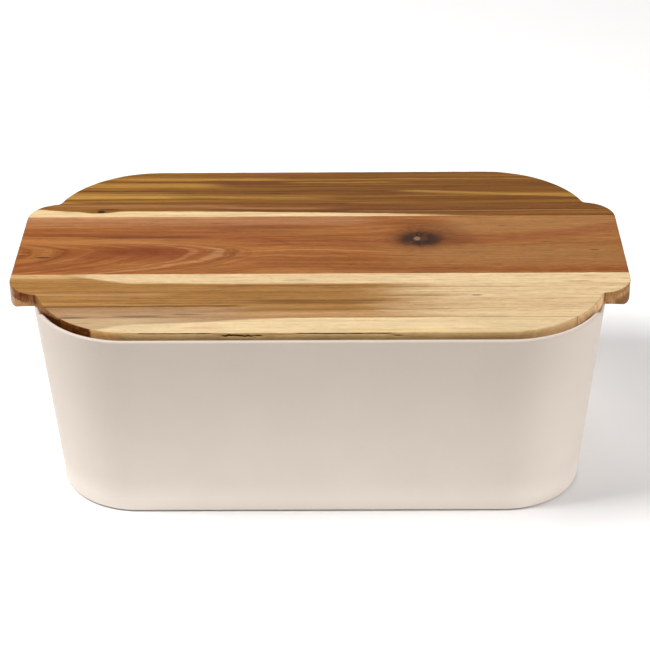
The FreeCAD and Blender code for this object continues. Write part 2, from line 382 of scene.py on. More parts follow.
def perimeter():
    """Columns round the tub: each a point that a corner turns about, and an outward direction."""
    reach = RIM_HALF_LENGTH - RIM_CORNER
    width = RIM_HALF_WIDTH - RIM_CORNER
    columns = []
    corners = [(reach, width), (-reach, width), (-reach, -width), (reach, -width)]
    sides = [LONG_SIDE_STEPS, SHORT_SIDE_STEPS] * 2
    for quarter, (corner, steps) in enumerate(zip(corners, sides)):
        core = Vector(corner)
        following = Vector(corners[(quarter + 1) % 4])
        first = quarter * math.pi / 2
        for turn in evenly(first, first + math.pi / 2, CORNER_STEPS):
            columns.append((core, Vector((math.cos(turn), math.sin(turn)))))
        outward = columns[-1][1]
        for share in evenly(0, 1, steps)[1:-1]:
            columns.append((core.lerp(following, share), outward))
    return columns


def rim_height(y):
    """Height of the rim's crest, which dips at each end where a grip crosses it."""
    from_floor = abs(y) - DIP_HALF_FLOOR
    low = TUB_HEIGHT - DIP_DEPTH
    if from_floor <= 0:
        return low
    if from_floor >= DIP_RAMP:
        return TUB_HEIGHT
    radius = (DIP_RAMP**2 + DIP_DEPTH**2) / (4 * DIP_DEPTH)
    if from_floor <= DIP_RAMP / 2:
        return low + radius - math.sqrt(radius**2 - from_floor**2)
    return TUB_HEIGHT - radius + math.sqrt(radius**2 - (DIP_RAMP - from_floor) ** 2)


def tub_section():
    """The wall's section as (inset, height, hangs) points, from under the floor round to inside it.

    Heights that hang are measured down from the rim's crest, the others up from the base.
    The inset is without the draft, which is added for each point's real height.
    """
    section = [(BASE_EDGE + inwards, 0, False) for inwards in BASE_RINGS]
    for turn in evenly(0, math.pi / 2, ROUNDING_STEPS):
        inset = BASE_EDGE * (1 - math.sin(turn))
        section.append((inset, BASE_EDGE * (1 - math.cos(turn)), False))
    section += [(0, height, False) for height in evenly(WALL_FOOT, WALL_TOP, OUTER_WALL_STEPS)]
    section += [(0, drop, True) for drop in evenly(BAND_FOOT, BAND_TOP, BAND_STEPS)]
    for turn in evenly(0, math.pi / 2, ROUNDING_STEPS):
        section.append((RIM_EDGE * (1 - math.cos(turn)), RIM_EDGE * (1 - math.sin(turn)), True))
    for turn in evenly(math.pi / 2, 0, ROUNDING_STEPS):
        inset = WALL - RIM_EDGE * (1 - math.cos(turn))
        section.append((inset, RIM_EDGE * (1 - math.sin(turn)), True))
    section += [(WALL, drop, True) for drop in evenly(BAND_TOP, BAND_FOOT, BAND_STEPS)]
    corner_top = FLOOR + FLOOR_CORNER
    section += [(WALL, height, False) for height in evenly(WALL_TOP, corner_top, INNER_WALL_STEPS)]
    for turn in evenly(0, math.pi / 2, FLOOR_CORNER_STEPS)[1:]:
        inset = WALL + FLOOR_CORNER * (1 - math.cos(turn))
        section.append((inset, corner_top - FLOOR_CORNER * math.sin(turn), False))
    section.append((WALL + FLOOR_CORNER + FLOOR_RING, FLOOR, False))
    return section


def make_tub():
    """The tub as rings that follow the section round the perimeter, closed above and below."""
    columns = perimeter()
    section = tub_section()
    crest = TUB_HEIGHT - RIM_EDGE
    points = []
    for inset, height, hangs in section:
        for core, outward in columns:
            top = rim_height(core.y + outward.y * RIM_CORNER) if outward.x else TUB_HEIGHT
            z = top - height if hangs else min(height, top - WALL_BELOW_CREST)
            total = inset + max(crest - z, 0) * DRAFT
            flat = core + outward * (RIM_CORNER - total)
            points.append((flat.x, flat.y, z))
    count = len(columns)
    faces = []

    def join_rings(lower, upper):
        for column in range(count):
            following = (column + 1) % count
            faces.append([lower + column, lower + following, upper + following, upper + column])

    for ring in range(len(section) - 1):
        join_rings(ring * count, (ring + 1) * count)

    def close(ring):
        """Fill a flat ring with smaller copies of itself and a fan at the middle."""
        outer = ring * count
        outline = points[outer : outer + count]
        z = outline[0][2]
        for share in FILL_SHARES:
            start = len(points)
            points.extend((x * share, y * share, z) for x, y, _ in outline)
            join_rings(outer, start)
            outer = start
        middle = len(points)
        points.append((0, 0, z))
        for column in range(count):
            faces.append([outer + column, outer + (column + 1) % count, middle])

    close(0)
    close(len(section) - 1)
    return add_piece("tub_moulding", points, faces, TUB_SHARP_ANGLE, "tub", "tub")


# ------------------------------------------------------------------ writing materials
class Value:
    """A number that varies over a surface; arithmetic on it adds nodes."""

    def __init__(self, shade, socket):
        self.shade = shade
        self.socket = socket

    def __add__(self, other):
        return self.shade.maths("ADD", self, other)

    def __sub__(self, other):
        return self.shade.maths("SUBTRACT", self, other)

    def __rsub__(self, other):
        return self.shade.maths("SUBTRACT", other, self)

    def __mul__(self, other):
        return self.shade.maths("MULTIPLY", self, other)

    def __truediv__(self, other):
        return self.shade.maths("DIVIDE", self, other)

    def __abs__(self):
        return self.shade.maths("ABSOLUTE", self)

    __radd__ = __add__
    __rmul__ = __mul__


class Shade:
    """One material's nodes. Numbers, colours and varying values mix freely.

    x, y and z are the place on the surface in millimetres, and normal is the way it faces.
    """

    def __init__(self, name):
        self.material = bpy.data.materials.new(name)
        self.material.use_nodes = True
        self.tree = self.material.node_tree
        self.tree.nodes.clear()
        coordinates = self.add("TexCoord").outputs
        self.x, self.y, self.z = self.split(coordinates["Object"], 1 / MM)
        self.normal = self.split(coordinates["Normal"], 1)

    def add(self, kind, **settings):
        node = self.tree.nodes.new(f"ShaderNode{kind}")
        for name, value in settings.items():
            setattr(node, name, value)
        return node

    def feed(self, socket, value):
        if isinstance(value, Value):
            self.tree.links.new(value.socket, socket)
        else:
            socket.default_value = value

    def split(self, socket, scale):
        parts = self.add("SeparateXYZ")
        self.tree.links.new(socket, parts.inputs[0])
        values = [Value(self, parts.outputs[axis]) for axis in "XYZ"]
        return values if scale == 1 else [value * scale for value in values]

    def maths(self, operation, first, second=0.0):
        node = self.add("Math", operation=operation)
        self.feed(node.inputs[0], first)
        self.feed(node.inputs[1], second)
        return Value(self, node.outputs[0])

    def step(self, value, low, high):
        """0 below low, 1 above high, and smooth between."""
        node = self.add("MapRange", interpolation_type="SMOOTHSTEP")
        self.feed(node.inputs["Value"], value)
        self.feed(node.inputs["From Min"], low)
        self.feed(node.inputs["From Max"], high)
        return Value(self, node.outputs[0])

    def noise(self, x, y, z, detail=2.0, roughness=0.55):
        """Noise centred on 0, mostly within -0.5 to 0.5."""
        place = self.add("CombineXYZ")
        for socket, value in zip(place.inputs, (x, y, z)):
            self.feed(socket, value)
        node = self.add("TexNoise")
        self.tree.links.new(place.outputs[0], node.inputs["Vector"])
        node.inputs["Scale"].default_value = 1
        node.inputs["Detail"].default_value = detail
        node.inputs["Roughness"].default_value = roughness
        return Value(self, node.outputs[0]) - 0.5

    def cells(self, x, y, z):
        """Distance from the nearest of a scatter of points."""
        place = self.add("CombineXYZ")
        for socket, value in zip(place.inputs, (x, y, z)):
            self.feed(socket, value)
        node = self.add("TexVoronoi", feature="F1")
        self.tree.links.new(place.outputs[0], node.inputs["Vector"])
        node.inputs["Scale"].default_value = 1
        return Value(self, node.outputs["Distance"])

    def mix(self, first, second, share, blend="MIX"):
        """Two colours mixed."""
        node = self.add("Mix", data_type="RGBA", blend_type=blend)
        sockets = {socket.identifier: socket for socket in (*node.inputs, *node.outputs)}
        self.feed(sockets["Factor_Float"], share)
        self.feed(sockets["A_Color"], first)
        self.feed(sockets["B_Color"], second)
        return Value(self, sockets["Result_Color"])

    def ramp(self, value, stops):
        """A colour looked up along a line of evenly spaced ones."""
        node = self.add("ValToRGB")
        self.feed(node.inputs[0], value)
        places = evenly(0, 1, len(stops) - 1)
        line = node.color_ramp.elements
        line[0].color, line[-1].color = stops[0], stops[-1]
        for place, colour in zip(places[1:-1], stops[1:-1]):
            line.new(place).color = colour
        return Value(self, node.outputs[0])

    def finish(self, colour, roughness, height, height_mm, specular):
        """The surface itself: colour and roughness vary, and height makes the bump."""
        bump = self.add("Bump")
        bump.inputs["Strength"].default_value = 1
        bump.inputs["Distance"].default_value = height_mm * MM
        self.feed(bump.inputs["Height"], height)
        surface = self.add("BsdfPrincipled")
        self.feed(surface.inputs["Base Color"], colour)
        self.feed(surface.inputs["Roughness"], roughness)
        surface.inputs["Specular IOR Level"].default_value = specular
        self.tree.links.new(bump.outputs[0], surface.inputs["Normal"])
        output = self.add("OutputMaterial")
        self.tree.links.new(surface.outputs[0], output.inputs[0])
        return self.material


# How bright a white surface lying under the lights reads, where 1 is display white, the grey that
# the surface's own sheen adds, and the least reflectance that anything has.
LIT_WHITE = 1.42
SHEEN = 0.015
DARKEST = 0.003


def seen(red, green, blue):
    """The reflectance of a surface that reads as this 0 to 255 colour under the lights."""

    def linear(channel):
        share = channel / 255
        return share / 12.92 if share <= 0.04045 else ((share + 0.055) / 1.055) ** 2.4

    shares = (max((linear(channel) - SHEEN) / LIT_WHITE, DARKEST) for channel in (red, green, blue))
    return (*shares, 1)


# ------------------------------------------------------------------ the wood
LID_TOP_MM = LID_TOP / MM
OILED_ROUGHNESS = 0.6


class Timber(Shade):
    """Oiled hardwood whose grain runs along X, painted one feature at a time, in millimetres.

    lean is how far the growth rings shift sideways for each millimetre of depth.
    """

    def __init__(self, name, seed, lean):
        super().__init__(name)
        self.seed = seed
        self.depth = self.z - LID_TOP_MM
        across = self.y + self.depth * lean
        slow = self.noise(self.x / 110, across / 30, seed, 1)
        quick = self.noise(self.x / 26, across / 4, seed + 3, 2)
        fine = self.noise(self.x / 8, across / 1.1, seed + 5, 1)
        self.ring = across + slow * 4 + quick * 1.1
        self.ragged = across + slow * 1.6 + quick * 1.3 + fine * 0.7

    def stripes(self, ring):
        """Growth rings of several widths as one number about 0."""
        seed, x = self.seed, self.x
        wide = self.noise(x / 420, ring / 9, seed + 11, 1)
        middling = self.noise(x / 260, ring / 3.2, seed + 13, 1)
        narrow = self.noise(x / 120, ring / 1.2, seed + 17, 1)
        hair = self.noise(x / 45, ring / 0.45, seed + 19, 1)
        return wide * 0.8 + middling * 0.7 + narrow * 0.5 + hair * 0.35

    def paint(self, colour, mask):
        """Lay a colour over what is there, as far as the mask lets it."""
        self.colour = self.mix(self.colour, colour, mask)

    def within(self, first, last, fade):
        """1 between two places along the grain, with uneven ends."""
        x = self.x + self.noise(self.x / 40, self.ragged / 2.2, self.seed + 23, 1) * fade * 1.6
        rise = self.step(x, first - fade, first + fade)
        return rise * self.step(x, last + fade, last - fade)

    def band(self, colour, centre, half, first, last, strength=1.0, slope=0.0, soft=1.0,
             fade=14.0, bow=0.0, bow_at=0.0):
        """A streak along the grain. slope and bow bend its middle line, bow about bow_at."""
        line = centre + self.x * slope if slope else centre
        if bow:
            off = self.x - bow_at
            line = off * off * bow + line
        off_line = abs(self.ragged - line)
        mask = self.step(off_line, half + soft, max(half - soft, 0))
        self.paint(colour, mask * self.within(first, last, fade) * strength)

    def blot(self, colour, x, y, half_x, half_y, strength=1.0, edge=0.5):
        """A soft oval patch."""
        across = (self.x - x) / half_x
        down = (self.ragged - y) / half_y
        near = across * across + down * down
        self.paint(colour, self.step(near, 1 + edge, max(1 - edge, 0)) * strength)

    def on_side(self):
        """1 on the upright faces, 0 above and below."""
        return self.step(abs(self.normal[2]), 0.75, 0.35)

    def wood(self, left_end, right_end, contrast=1.0):
        """Pores, fibres and end grain over the painted figure, and the finished material.

        left_end and right_end are how dark the wood's end grain has gone, from 0 to 1.
        """
        seed = self.seed
        fibre = self.noise(self.x / 14, self.ring / 0.34, self.depth / 0.8 + seed, 2, 0.6)
        ripple = self.noise(self.x / 7, self.ragged / 1.3, seed + 27, 3, 0.7)
        streak = self.noise(self.x / 38, self.ring / 1.5, seed + 29, 2, 0.65)
        vein = self.step(self.noise(self.x / 26, self.ragged / 1.6, seed + 37, 1), 0.1, 0.3)
        cloud = self.noise(self.x / 22, self.y / 9, seed + 31, 3)
        pores = self.cells(self.x / 6.5, self.ring / 0.75, self.depth / 1.1 + seed)
        pore = self.step(pores, 0.26, 0.1) * self.step(cloud, -0.18, 0.22)
        grain = fibre * 0.3 + ripple * 0.4 + streak * 0.48 - vein * 0.2 + 0.04
        tone = 1 + grain * contrast + cloud * 0.16 - pore * 0.3
        grey = self.add("CombineColor")
        for socket in grey.inputs:
            self.feed(socket, tone)
        self.colour = self.mix(self.colour, Value(self, grey.outputs[0]), 1.0, "MULTIPLY")

        lengthwise = abs(self.normal[0])
        upright = abs(self.normal[2])
        end = self.step(lengthwise, 0.3, 0.75)
        speck = self.cells(self.x / 2, self.y / 0.8, self.z / 0.8)
        ends_dark = self.step(self.x, 60, -60) * (left_end - right_end) + right_end
        rings = self.noise(seed, self.y / 1.6, self.z / 9, 2)
        dark = end * ends_dark * (0.8 + rings * 0.8 + speck * 0.15)
        self.colour = self.mix(self.colour, seen(96, 62, 34), self.maths("MINIMUM", dark, 0.92))

        roughness = OILED_ROUGHNESS + fibre * 0.16 + cloud * 0.1 + pore * 0.2
        plane_marks = self.noise(self.x / 3.2, self.y / 160, self.z / 3, 1) * upright
        height = fibre * 0.5 - pore * 0.9 + plane_marks * 0.12 + rings * end * 0.8
        return self.finish(self.colour, roughness, height, height_mm=0.16, specular=0.06)


def rear_timber():
    """Olive brown with golden streaks, and a strip of pale sapwood that narrows to the right."""
    wood = Timber("rear_stave_wood", 1.7, 0.45)
    tone = wood.stripes(wood.ring) * 1.15 + 0.5
    tone = tone + wood.step(wood.x, 40, -150) * 0.16 - 0.05
    wood.colour = wood.ramp(tone, [
        seen(88, 48, 20), seen(114, 70, 30), seen(136, 90, 42), seen(158, 112, 54), seen(192, 146, 76),
    ])
    golden, dark, red = seen(194, 146, 72), seen(100, 58, 28), seen(124, 68, 40)
    pink = seen(176, 126, 84)
    wood.band(golden, 88, 3.2, -190, -70, 0.6)
    wood.band(golden, 97, 2, -130, -30, 0.45)
    wood.band(golden, 69.5, 2.2, -185, -95, 0.75, slope=-0.01)
    wood.band(golden, 68, 1.6, -90, 0, 0.4, slope=-0.03)
    wood.band(golden, 83, 1.6, 55, 190, 0.65, slope=-0.075, soft=1.4)
    wood.band(golden, 92, 0.8, -20, 50, 0.5)
    wood.band(golden, 73.5, 1.5, 120, 170, 0.5)
    wood.band(dark, 75, 1.4, -175, -20, 0.5, slope=-0.022)
    wood.band(dark, 79.5, 0.7, -165, -80, 0.5)
    wood.band(red, 57, 4.5, -190, 10, 0.5, soft=2)
    wood.band(dark, 60.3, 1.0, -160, 20, 0.65, slope=-0.014)
    wood.band(pink, 56.6, 1.3, -175, -60, 0.6, slope=-0.01)
    wood.band(pink, 53.6, 0.9, -70, 5, 0.7, slope=-0.01)
    wood.band(seen(108, 58, 30), 54.5, 5.5, 5, 200, 0.6, soft=3, fade=25)
    wood.band(dark, 49.6, 1.1, -70, 25, 0.6, slope=-0.035)
    wood.band(seen(190, 142, 92), 49.5, 0.6, 20, 200, 0.5, soft=0.6)
    # sapwood, its upper limit falling to the glue line and dented by a small knot
    limit = 47.4 - wood.x * 0.033 - wood.x * wood.x * 0.0001
    limit = limit + wood.step(wood.x, -160, -190) * 3.5 - wood.step(abs(wood.x + 145), 17, 2) * 2.6
    sap = wood.step(wood.ragged, limit + 0.5, limit - 0.5)
    sap = sap * wood.step(wood.x + wood.noise(wood.x / 30, wood.y, 4.0) * 30, 125, 30)
    cream = wood.noise(wood.x / 70, wood.ring / 1.6, 8.0, 2) + 0.5
    wood.paint(wood.ramp(cream, [seen(206, 166, 114), seen(233, 202, 153), seen(249, 224, 178)]), sap)
    wood.blot(seen(132, 86, 48), -139, 51.6, 13, 2.2, 0.75)
    wood.blot(seen(52, 30, 18), -143, 49.6, 2.6, 1.7, 0.95)
    wood.blot(seen(92, 56, 32), -138, 52.6, 8, 1.0, 0.7)
    return wood.wood(0.75, 0.75)


def middle_timber():
    """Reddish brown: cathedral arcs on the left, and a dark knot on the right."""
    wood = Timber("middle_stave_wood", 5.2, -0.3)
    knot_x, knot_y = 62.5, 10.0
    away_x = (wood.x - knot_x) / 34
    away_y = (wood.ragged - knot_y) / 19
    on_right = wood.step(wood.x, 0, 80)
    curl = wood.noise(wood.x / 9, wood.ragged / 3.2, 21.0, 3)
    near_knot = wood.maths("POWER", math.e, -1 * (away_x * away_x + away_y * away_y))
    flowing = knot_y + (wood.ring - knot_y) * (1 - near_knot * 0.75)
    flowing = flowing + wood.noise(wood.x / 45, wood.y / 14, 3.0, 2) * 5

    # arcs that open to the left about one line; their lower limbs are longer
    centre_line = -5.5
    off_centre = wood.ragged - centre_line
    bend = wood.step(off_centre, -3, 3) * 0.27 + 0.085
    arc = wood.x + off_centre * off_centre * bend
    arc = arc + wood.noise(wood.x / 30, wood.y / 10, 6.0, 2) * 14
    in_arcs = wood.step(wood.x + wood.noise(wood.x / 30, wood.y / 8, 2.0) * 30, -20, -62)
    in_arcs = in_arcs * wood.step(wood.ragged, 13, 6)

    straight = wood.stripes(flowing)
    rings = wood.noise(arc / 11, 0.0, 7.0, 2) * 1.3 + wood.noise(arc / 3.5, wood.y / 40, 9.0, 1) * 0.6
    arcs = rings + wood.noise(wood.x / 60, wood.ring / 0.9, 4.4, 1) * 0.3
    tone = straight * (1 - on_right * 0.55) + (arcs - straight) * in_arcs + curl * on_right * 0.5
    wood.colour = wood.ramp(tone * 0.95 + 0.5, [
        seen(112, 56, 28), seen(140, 80, 42), seen(160, 101, 56), seen(180, 121, 70), seen(204, 150, 96),
    ])
    red, pink, dark = seen(148, 82, 48), seen(186, 132, 92), seen(118, 68, 44)
    tan, orange = seen(166, 118, 72), seen(186, 122, 72)
    wood.band(pink, 36, 6.5, -200, 30, 0.6, soft=3)
    wood.band(seen(180, 130, 82), 31, 11, 80, 200, 0.6, soft=4)
    wood.band(seen(205, 150, 108), 41, 1.6, -200, -60, 0.5)
    wood.band(red, 19, 6.5, -200, -50, 0.42, soft=4)
    wood.band(dark, 24, 4.0, -62, -20, 0.4, soft=3)
    wood.band(dark, 20.3, 0.9, -140, -60, 0.35)
    wood.band(dark, 13.4, 1.5, -140, -72, 0.75, soft=0.8)
    wood.band(dark, 16.5, 0.8, -190, -110, 0.4)
    wood.band(orange, 7.5, 3.0, -200, -105, 0.6, soft=2)
    wood.blot(seen(136, 70, 40), -118, -9, 44, 11, 0.6, 0.8)
    wood.blot(seen(124, 62, 36), -108, -6, 24, 6, 0.55, 0.8)
    wood.band(red, -27, 6, -200, -130, 0.5, soft=4)
    arc_dark = wood.step(abs(arc + 52), 3.2, 1.0) * in_arcs * wood.step(wood.y, 2, -8)
    wood.paint(dark, arc_dark * 0.55)
    arc_light = wood.step(abs(arc + 63 + curl * 5), 6.5, 1.0) * in_arcs
    wood.paint(seen(200, 146, 98), arc_light * 0.5)
    arc_inner = wood.step(abs(arc + 79 + curl * 5), 4.0, 0.8) * in_arcs
    wood.paint(seen(190, 132, 86), arc_inner * 0.5)
    wood.band(red, 12.5, 1.3, -60, -17, 0.75, bow=-0.0135, bow_at=-45.0, fade=6.0)
    wood.band(dark, -29.5, 3.0, 10, 100, 0.35, soft=3, fade=25)
    wood.band(tan, -12, 12, 50, 200, 0.6, soft=6, fade=25)
    wood.band(tan, 12, 34, 84, 200, 0.4, soft=8, fade=26)
    wood.band(red, 9, 5.5, 84, 200, 0.5, bow=0.0017, bow_at=85.0, soft=3, fade=10)
    wood.band(red, 7, 2.0, -40, 50, 0.45, soft=2)
    wood.blot(seen(44, 26, 18), -173, -13.4, 4.4, 0.75, 0.9, 0.8)
    wood.blot(seen(70, 42, 28), -187, -11, 2.5, 0.6, 0.8, 0.8)
    wood.blot(seen(84, 54, 34), 172, -5.5, 3.0, 0.6, 0.7, 0.8)

    # the knot: rays about a pale heart, darkest in a ring round it
    spin_x = (wood.x - knot_x - 1) / 16.5
    spin_y = (wood.y - knot_y) / 11.5
    radius = wood.maths("SQRT", spin_x * spin_x + spin_y * spin_y)
    angle = wood.maths("ARCTAN2", spin_y, spin_x)
    ray = wood.noise(wood.maths("SINE", angle) * 5, wood.maths("COSINE", angle) * 5, radius * 0.8, 3)
    stroke = wood.noise(wood.maths("SINE", angle) * 11, wood.maths("COSINE", angle) * 11, radius * 1.2, 2)
    edge = radius + ray * 0.8 + stroke * 0.5 + wood.noise(wood.x / 5, wood.y / 5, 1.0, 2) * 0.4
    upper_right = wood.step(spin_x + spin_y, -0.2, 1.4)
    halo = wood.step(edge, 1.75 + upper_right * 1.1, 0.7)
    wood.paint(seen(108, 64, 40), halo * (0.72 + ray * 1.2 + stroke * 0.9))
    core = wood.step(edge - stroke * 0.35, 1.06, 0.56)
    wood.paint(seen(60, 44, 33), core * (0.94 + ray * 0.9))
    wood.paint(seen(128, 86, 60), core * wood.step(stroke, 0.02, 0.22) * wood.step(radius, 0.3, 0.8) * 0.7)
    wood.paint(seen(96, 68, 52), wood.step(radius + ray * 0.2, 0.36, 0.2) * 0.5)
    heart_x = (wood.x - 61.2) / 2.1
    heart_y = (wood.y - 10.4) / 2.5
    heart = heart_x * heart_x + heart_y * heart_y
    wood.paint(seen(156, 116, 88), wood.step(heart, 1.5, 0.4) * 0.85)
    return wood.wood(0.6, 0.5, 1.5)


def front_timber():
    """Brown on the left and pale on the right, with olive brown streaks between."""
    wood = Timber("front_stave_wood", 9.1, 0.35)
    tone = wood.stripes(wood.ring) * 0.75 + 0.5
    brown = wood.ramp(tone, [
        seen(122, 78, 38), seen(148, 102, 54), seen(170, 124, 72), seen(188, 144, 90), seen(212, 172, 118),
    ])
    pale = wood.ramp(tone, [
        seen(186, 150, 106), seen(208, 176, 130), seen(221, 190, 145), seen(230, 202, 158),
        seen(238, 214, 172),
    ])
    reach = wood.x + wood.noise(wood.x / 70, wood.ring / 3.0, 5.0, 2) * 90
    wood.colour = wood.mix(brown, pale, wood.step(reach, 18, 92))
    streak, dark = seen(140, 92, 44), seen(118, 78, 40)
    grey, tan, cream = seen(178, 148, 122), seen(196, 154, 110), seen(234, 204, 158)
    wood.band(streak, -50.5, 2.2, -70, 42, 0.62, soft=2.2, fade=12)
    wood.band(streak, -60, 5.0, -60, 30, 0.35, soft=4, fade=20)
    wood.band(dark, -70.5, 2.4, -40, 42, 0.62, soft=2.4, fade=12)
    wood.band(streak, -63.5, 0.9, 40, 85, 0.6, soft=1)
    wood.band(streak, -53, 0.6, 45, 130, 0.4, soft=0.8)
    wood.band(tan, -74, 2.5, 30, 100, 0.5, soft=2)
    wood.band(dark, -75.2, 1.0, -175, -48, 0.95, soft=0.7, fade=8, slope=0.008)
    wood.band(dark, -72.4, 1.0, -120, 30, 0.5, soft=0.9)
    wood.band(streak, -66, 0.9, -120, -25, 0.5, soft=0.9)
    wood.band(streak, -57.5, 0.8, -165, -60, 0.5, soft=0.8)
    wood.band(tan, -61.5, 1.6, -178, -90, 0.5, soft=1.2)
    wood.band(dark, -80.5, 1.2, -60, 25, 0.35, soft=1.4)
    wood.band(grey, -84.5, 6.5, -172, -45, 0.5, soft=4, fade=24)
    wood.band(tan, -86, 3.0, -40, 60, 0.55, soft=2)
    wood.blot(seen(98, 84, 74), -146, -89.6, 9, 1.0, 0.85, 0.8)
    wood.blot(seen(112, 94, 80), -108, -88.0, 13, 0.9, 0.75, 0.8)
    wood.blot(seen(112, 94, 80), -78, -86.0, 10, 0.7, 0.6, 0.8)
    # sapwood along the glue line behind
    limit = wood.step(wood.x, -156, -112) * -8.5 - wood.step(wood.x, -112, -40) * 1.5 - 38
    rim = wood.step(wood.ragged, limit - 2.0, limit + 1.2) * wood.step(wood.x, -160, -138)
    wood.paint(cream, rim * 0.85)
    wood.band(seen(224, 184, 130), -38, 3.0, -200, -150, 0.7, soft=2.0)
    wood.blot(seen(90, 58, 30), 95, -63.3, 3.2, 0.6, 0.8, 0.8)
    wood.blot(seen(160, 128, 100), 158, -46.5, 9, 1.0, 0.45, 0.9)
    wood.band(seen(168, 132, 84), EDGE_GLUE_LINE / MM + 0.6, 0.4, -20, 160, 0.7, soft=0.5, fade=20)
    # the sawn sides: the board's rounded ends, and then the grips, which are darker
    side = wood.on_side()
    below = LID_TOP_MM - wood.z
    saw = wood.noise(wood.x / 1.3, wood.y / 1.3, wood.z / 9, 2)
    blotches = wood.noise(wood.x / 6, wood.y / 6, wood.z / 4, 2)
    at_grip = wood.step(abs(wood.x), 170.5, 172.5) * side
    on_left = wood.step(wood.x, 0, -1)
    on_right = 1 - on_left
    left_end = wood.ramp(saw + blotches * 0.6 + 0.5, [
        seen(124, 80, 44), seen(158, 110, 68), seen(186, 138, 92),
    ])
    wood.paint(left_end, side * on_left)
    # painted shade along the foot of the left end's side, just above the rim, rising towards the right
    climbing = below + saw * 2.5 + (wood.x + 165) * 0.26
    painted_rim_shade = side * on_left * wood.step(climbing, 3.4, 4.6)
    wood.paint(seen(92, 54, 30), painted_rim_shade * wood.step(wood.x, -169, -164))
    wood.paint(seen(248, 203, 152), side * on_right)
    red_brown = wood.ramp(saw + blotches * 1.2 + 0.5, [
        seen(98, 54, 26), seen(142, 88, 54), seen(190, 134, 92),
    ])
    wood.paint(red_brown, at_grip * on_left)
    low_on_grip = wood.step(below + saw * 2 + blotches * 2, 5.4, 7.2)
    wood.paint(seen(208, 164, 116), at_grip * on_left * low_on_grip * 0.75)
    # painted highlight on the faces at the left end that turn towards the key light
    wood.paint(seen(226, 206, 184), at_grip * wood.step(wood.normal[0], -0.75, -0.97) * 0.65)
    brown_patch = wood.step(below + blotches * 6, 4.5, 8.0) * wood.step(wood.x, 176, 182)
    tan_brown = wood.ramp(saw * 0.9 + blotches * 1.4 + 0.5, [
        seen(142, 98, 60), seen(196, 148, 100), seen(220, 178, 128),
    ])
    wood.paint(tan_brown, at_grip * on_right)
    wood.paint(seen(128, 84, 52), at_grip * on_right * brown_patch * 0.75)
    # painted shade in the crease where each grip's side runs into the board's end
    root_x = 172.4
    painted_root_shade = side * wood.step(abs(abs(wood.x) - root_x), 0.8, 0.2) * wood.step(below, 7.0, 5.0)
    wood.paint(seen(92, 50, 24), painted_root_shade * 0.6)
    return wood.wood(0.1, 0.05, 1.5)


# Half the straight run of the lid's front edge, short of its rounded corners, in millimetres.
STRAIGHT_EDGE = 106


def front_edge_timber():
    """Pale sapwood, with a brown wedge at its left end behind a natural boundary."""
    wood = Timber("front_edge_stave_wood", 12.6, -0.2)
    tone = wood.stripes(wood.ring) * 0.7 + 0.5
    wood.colour = wood.ramp(tone, [
        seen(205, 166, 112), seen(224, 192, 142), seen(234, 206, 160), seen(240, 214, 172),
        seen(246, 222, 184),
    ])
    brown = wood.ramp(tone, [seen(150, 112, 76), seen(176, 140, 104), seen(198, 160, 120)])
    limit = -89.5 + wood.step(wood.x, 10, -120) * -8.5 + wood.step(wood.x, -110, -142) * -8
    wood.paint(brown, wood.step(wood.ragged, limit - 1.2, limit + 1.4) * wood.step(wood.x, 15, -20))
    wood.band(seen(216, 152, 118), -102.2, 0.7, -82, -58, 0.6, soft=0.8, fade=8)
    wood.band(seen(214, 164, 122), -100, 0.5, -75, -56, 0.5, soft=0.6, fade=6)
    wood.band(seen(228, 192, 128), -105, 2.0, 0, 130, 0.5, soft=2, fade=30)
    wood.paint(seen(218, 190, 148), wood.step(abs(wood.x), 50, 115) * 0.5)
    # the front face: darker in streaks along its top, and painted shade inside its splits
    front = wood.step(wood.normal[1], -0.45, -0.8)
    wood.colour = wood.mix(wood.colour, seen(230, 186, 118), front * 0.6)
    below = LID_TOP_MM - wood.z
    streaks = wood.noise(wood.x / 18, below / 0.7, 3.0, 2)
    darker_top = wood.step(below + streaks * 1.6, 1.9, 0.7) * wood.within(-125, 50, 10.0)
    wood.paint(seen(178, 134, 78), darker_top * front * 0.5)
    # painted shade inside the splits, where they cut into the front face
    face = -BOARD_HALF_WIDTH / MM
    painted_split_shade = wood.step(wood.y, face + 0.12, face + 0.42)
    painted_split_shade = painted_split_shade * wood.step(wood.y, face + 1.4, face + 1.0) * wood.step(below, 0.05, 0.3)
    painted_split_shade = painted_split_shade * wood.step(abs(wood.x), STRAIGHT_EDGE, STRAIGHT_EDGE - 1)
    wood.paint(seen(70, 40, 18), painted_split_shade * 0.9)
    # the rounded ends: yellow and then dark brown up to the joint on the left, pale on the right
    side = wood.on_side()
    ragged_x = wood.x + wood.noise(wood.x / 3, wood.z / 2, 4.0, 2) * 3
    wood.paint(seen(250, 196, 128), side * wood.step(ragged_x, -112, -122))
    mottled = wood.noise(wood.x / 3, wood.y / 3, wood.z / 2, 2)
    dark_end = wood.ramp(mottled * 1.4 + 0.5, [seen(84, 46, 24), seen(118, 70, 38), seen(162, 106, 62)])
    wood.paint(dark_end, side * wood.step(ragged_x, -133, -135))
    wood.paint(seen(248, 203, 148), side * wood.step(wood.x, 110, 140))
    glue_line = EDGE_GLUE_LINE / MM
    joint = side * wood.step(wood.y, glue_line - 0.5, glue_line - 0.1)
    wood.paint(seen(110, 72, 40), joint * 0.8)
    return wood.wood(0.05, 0.05)


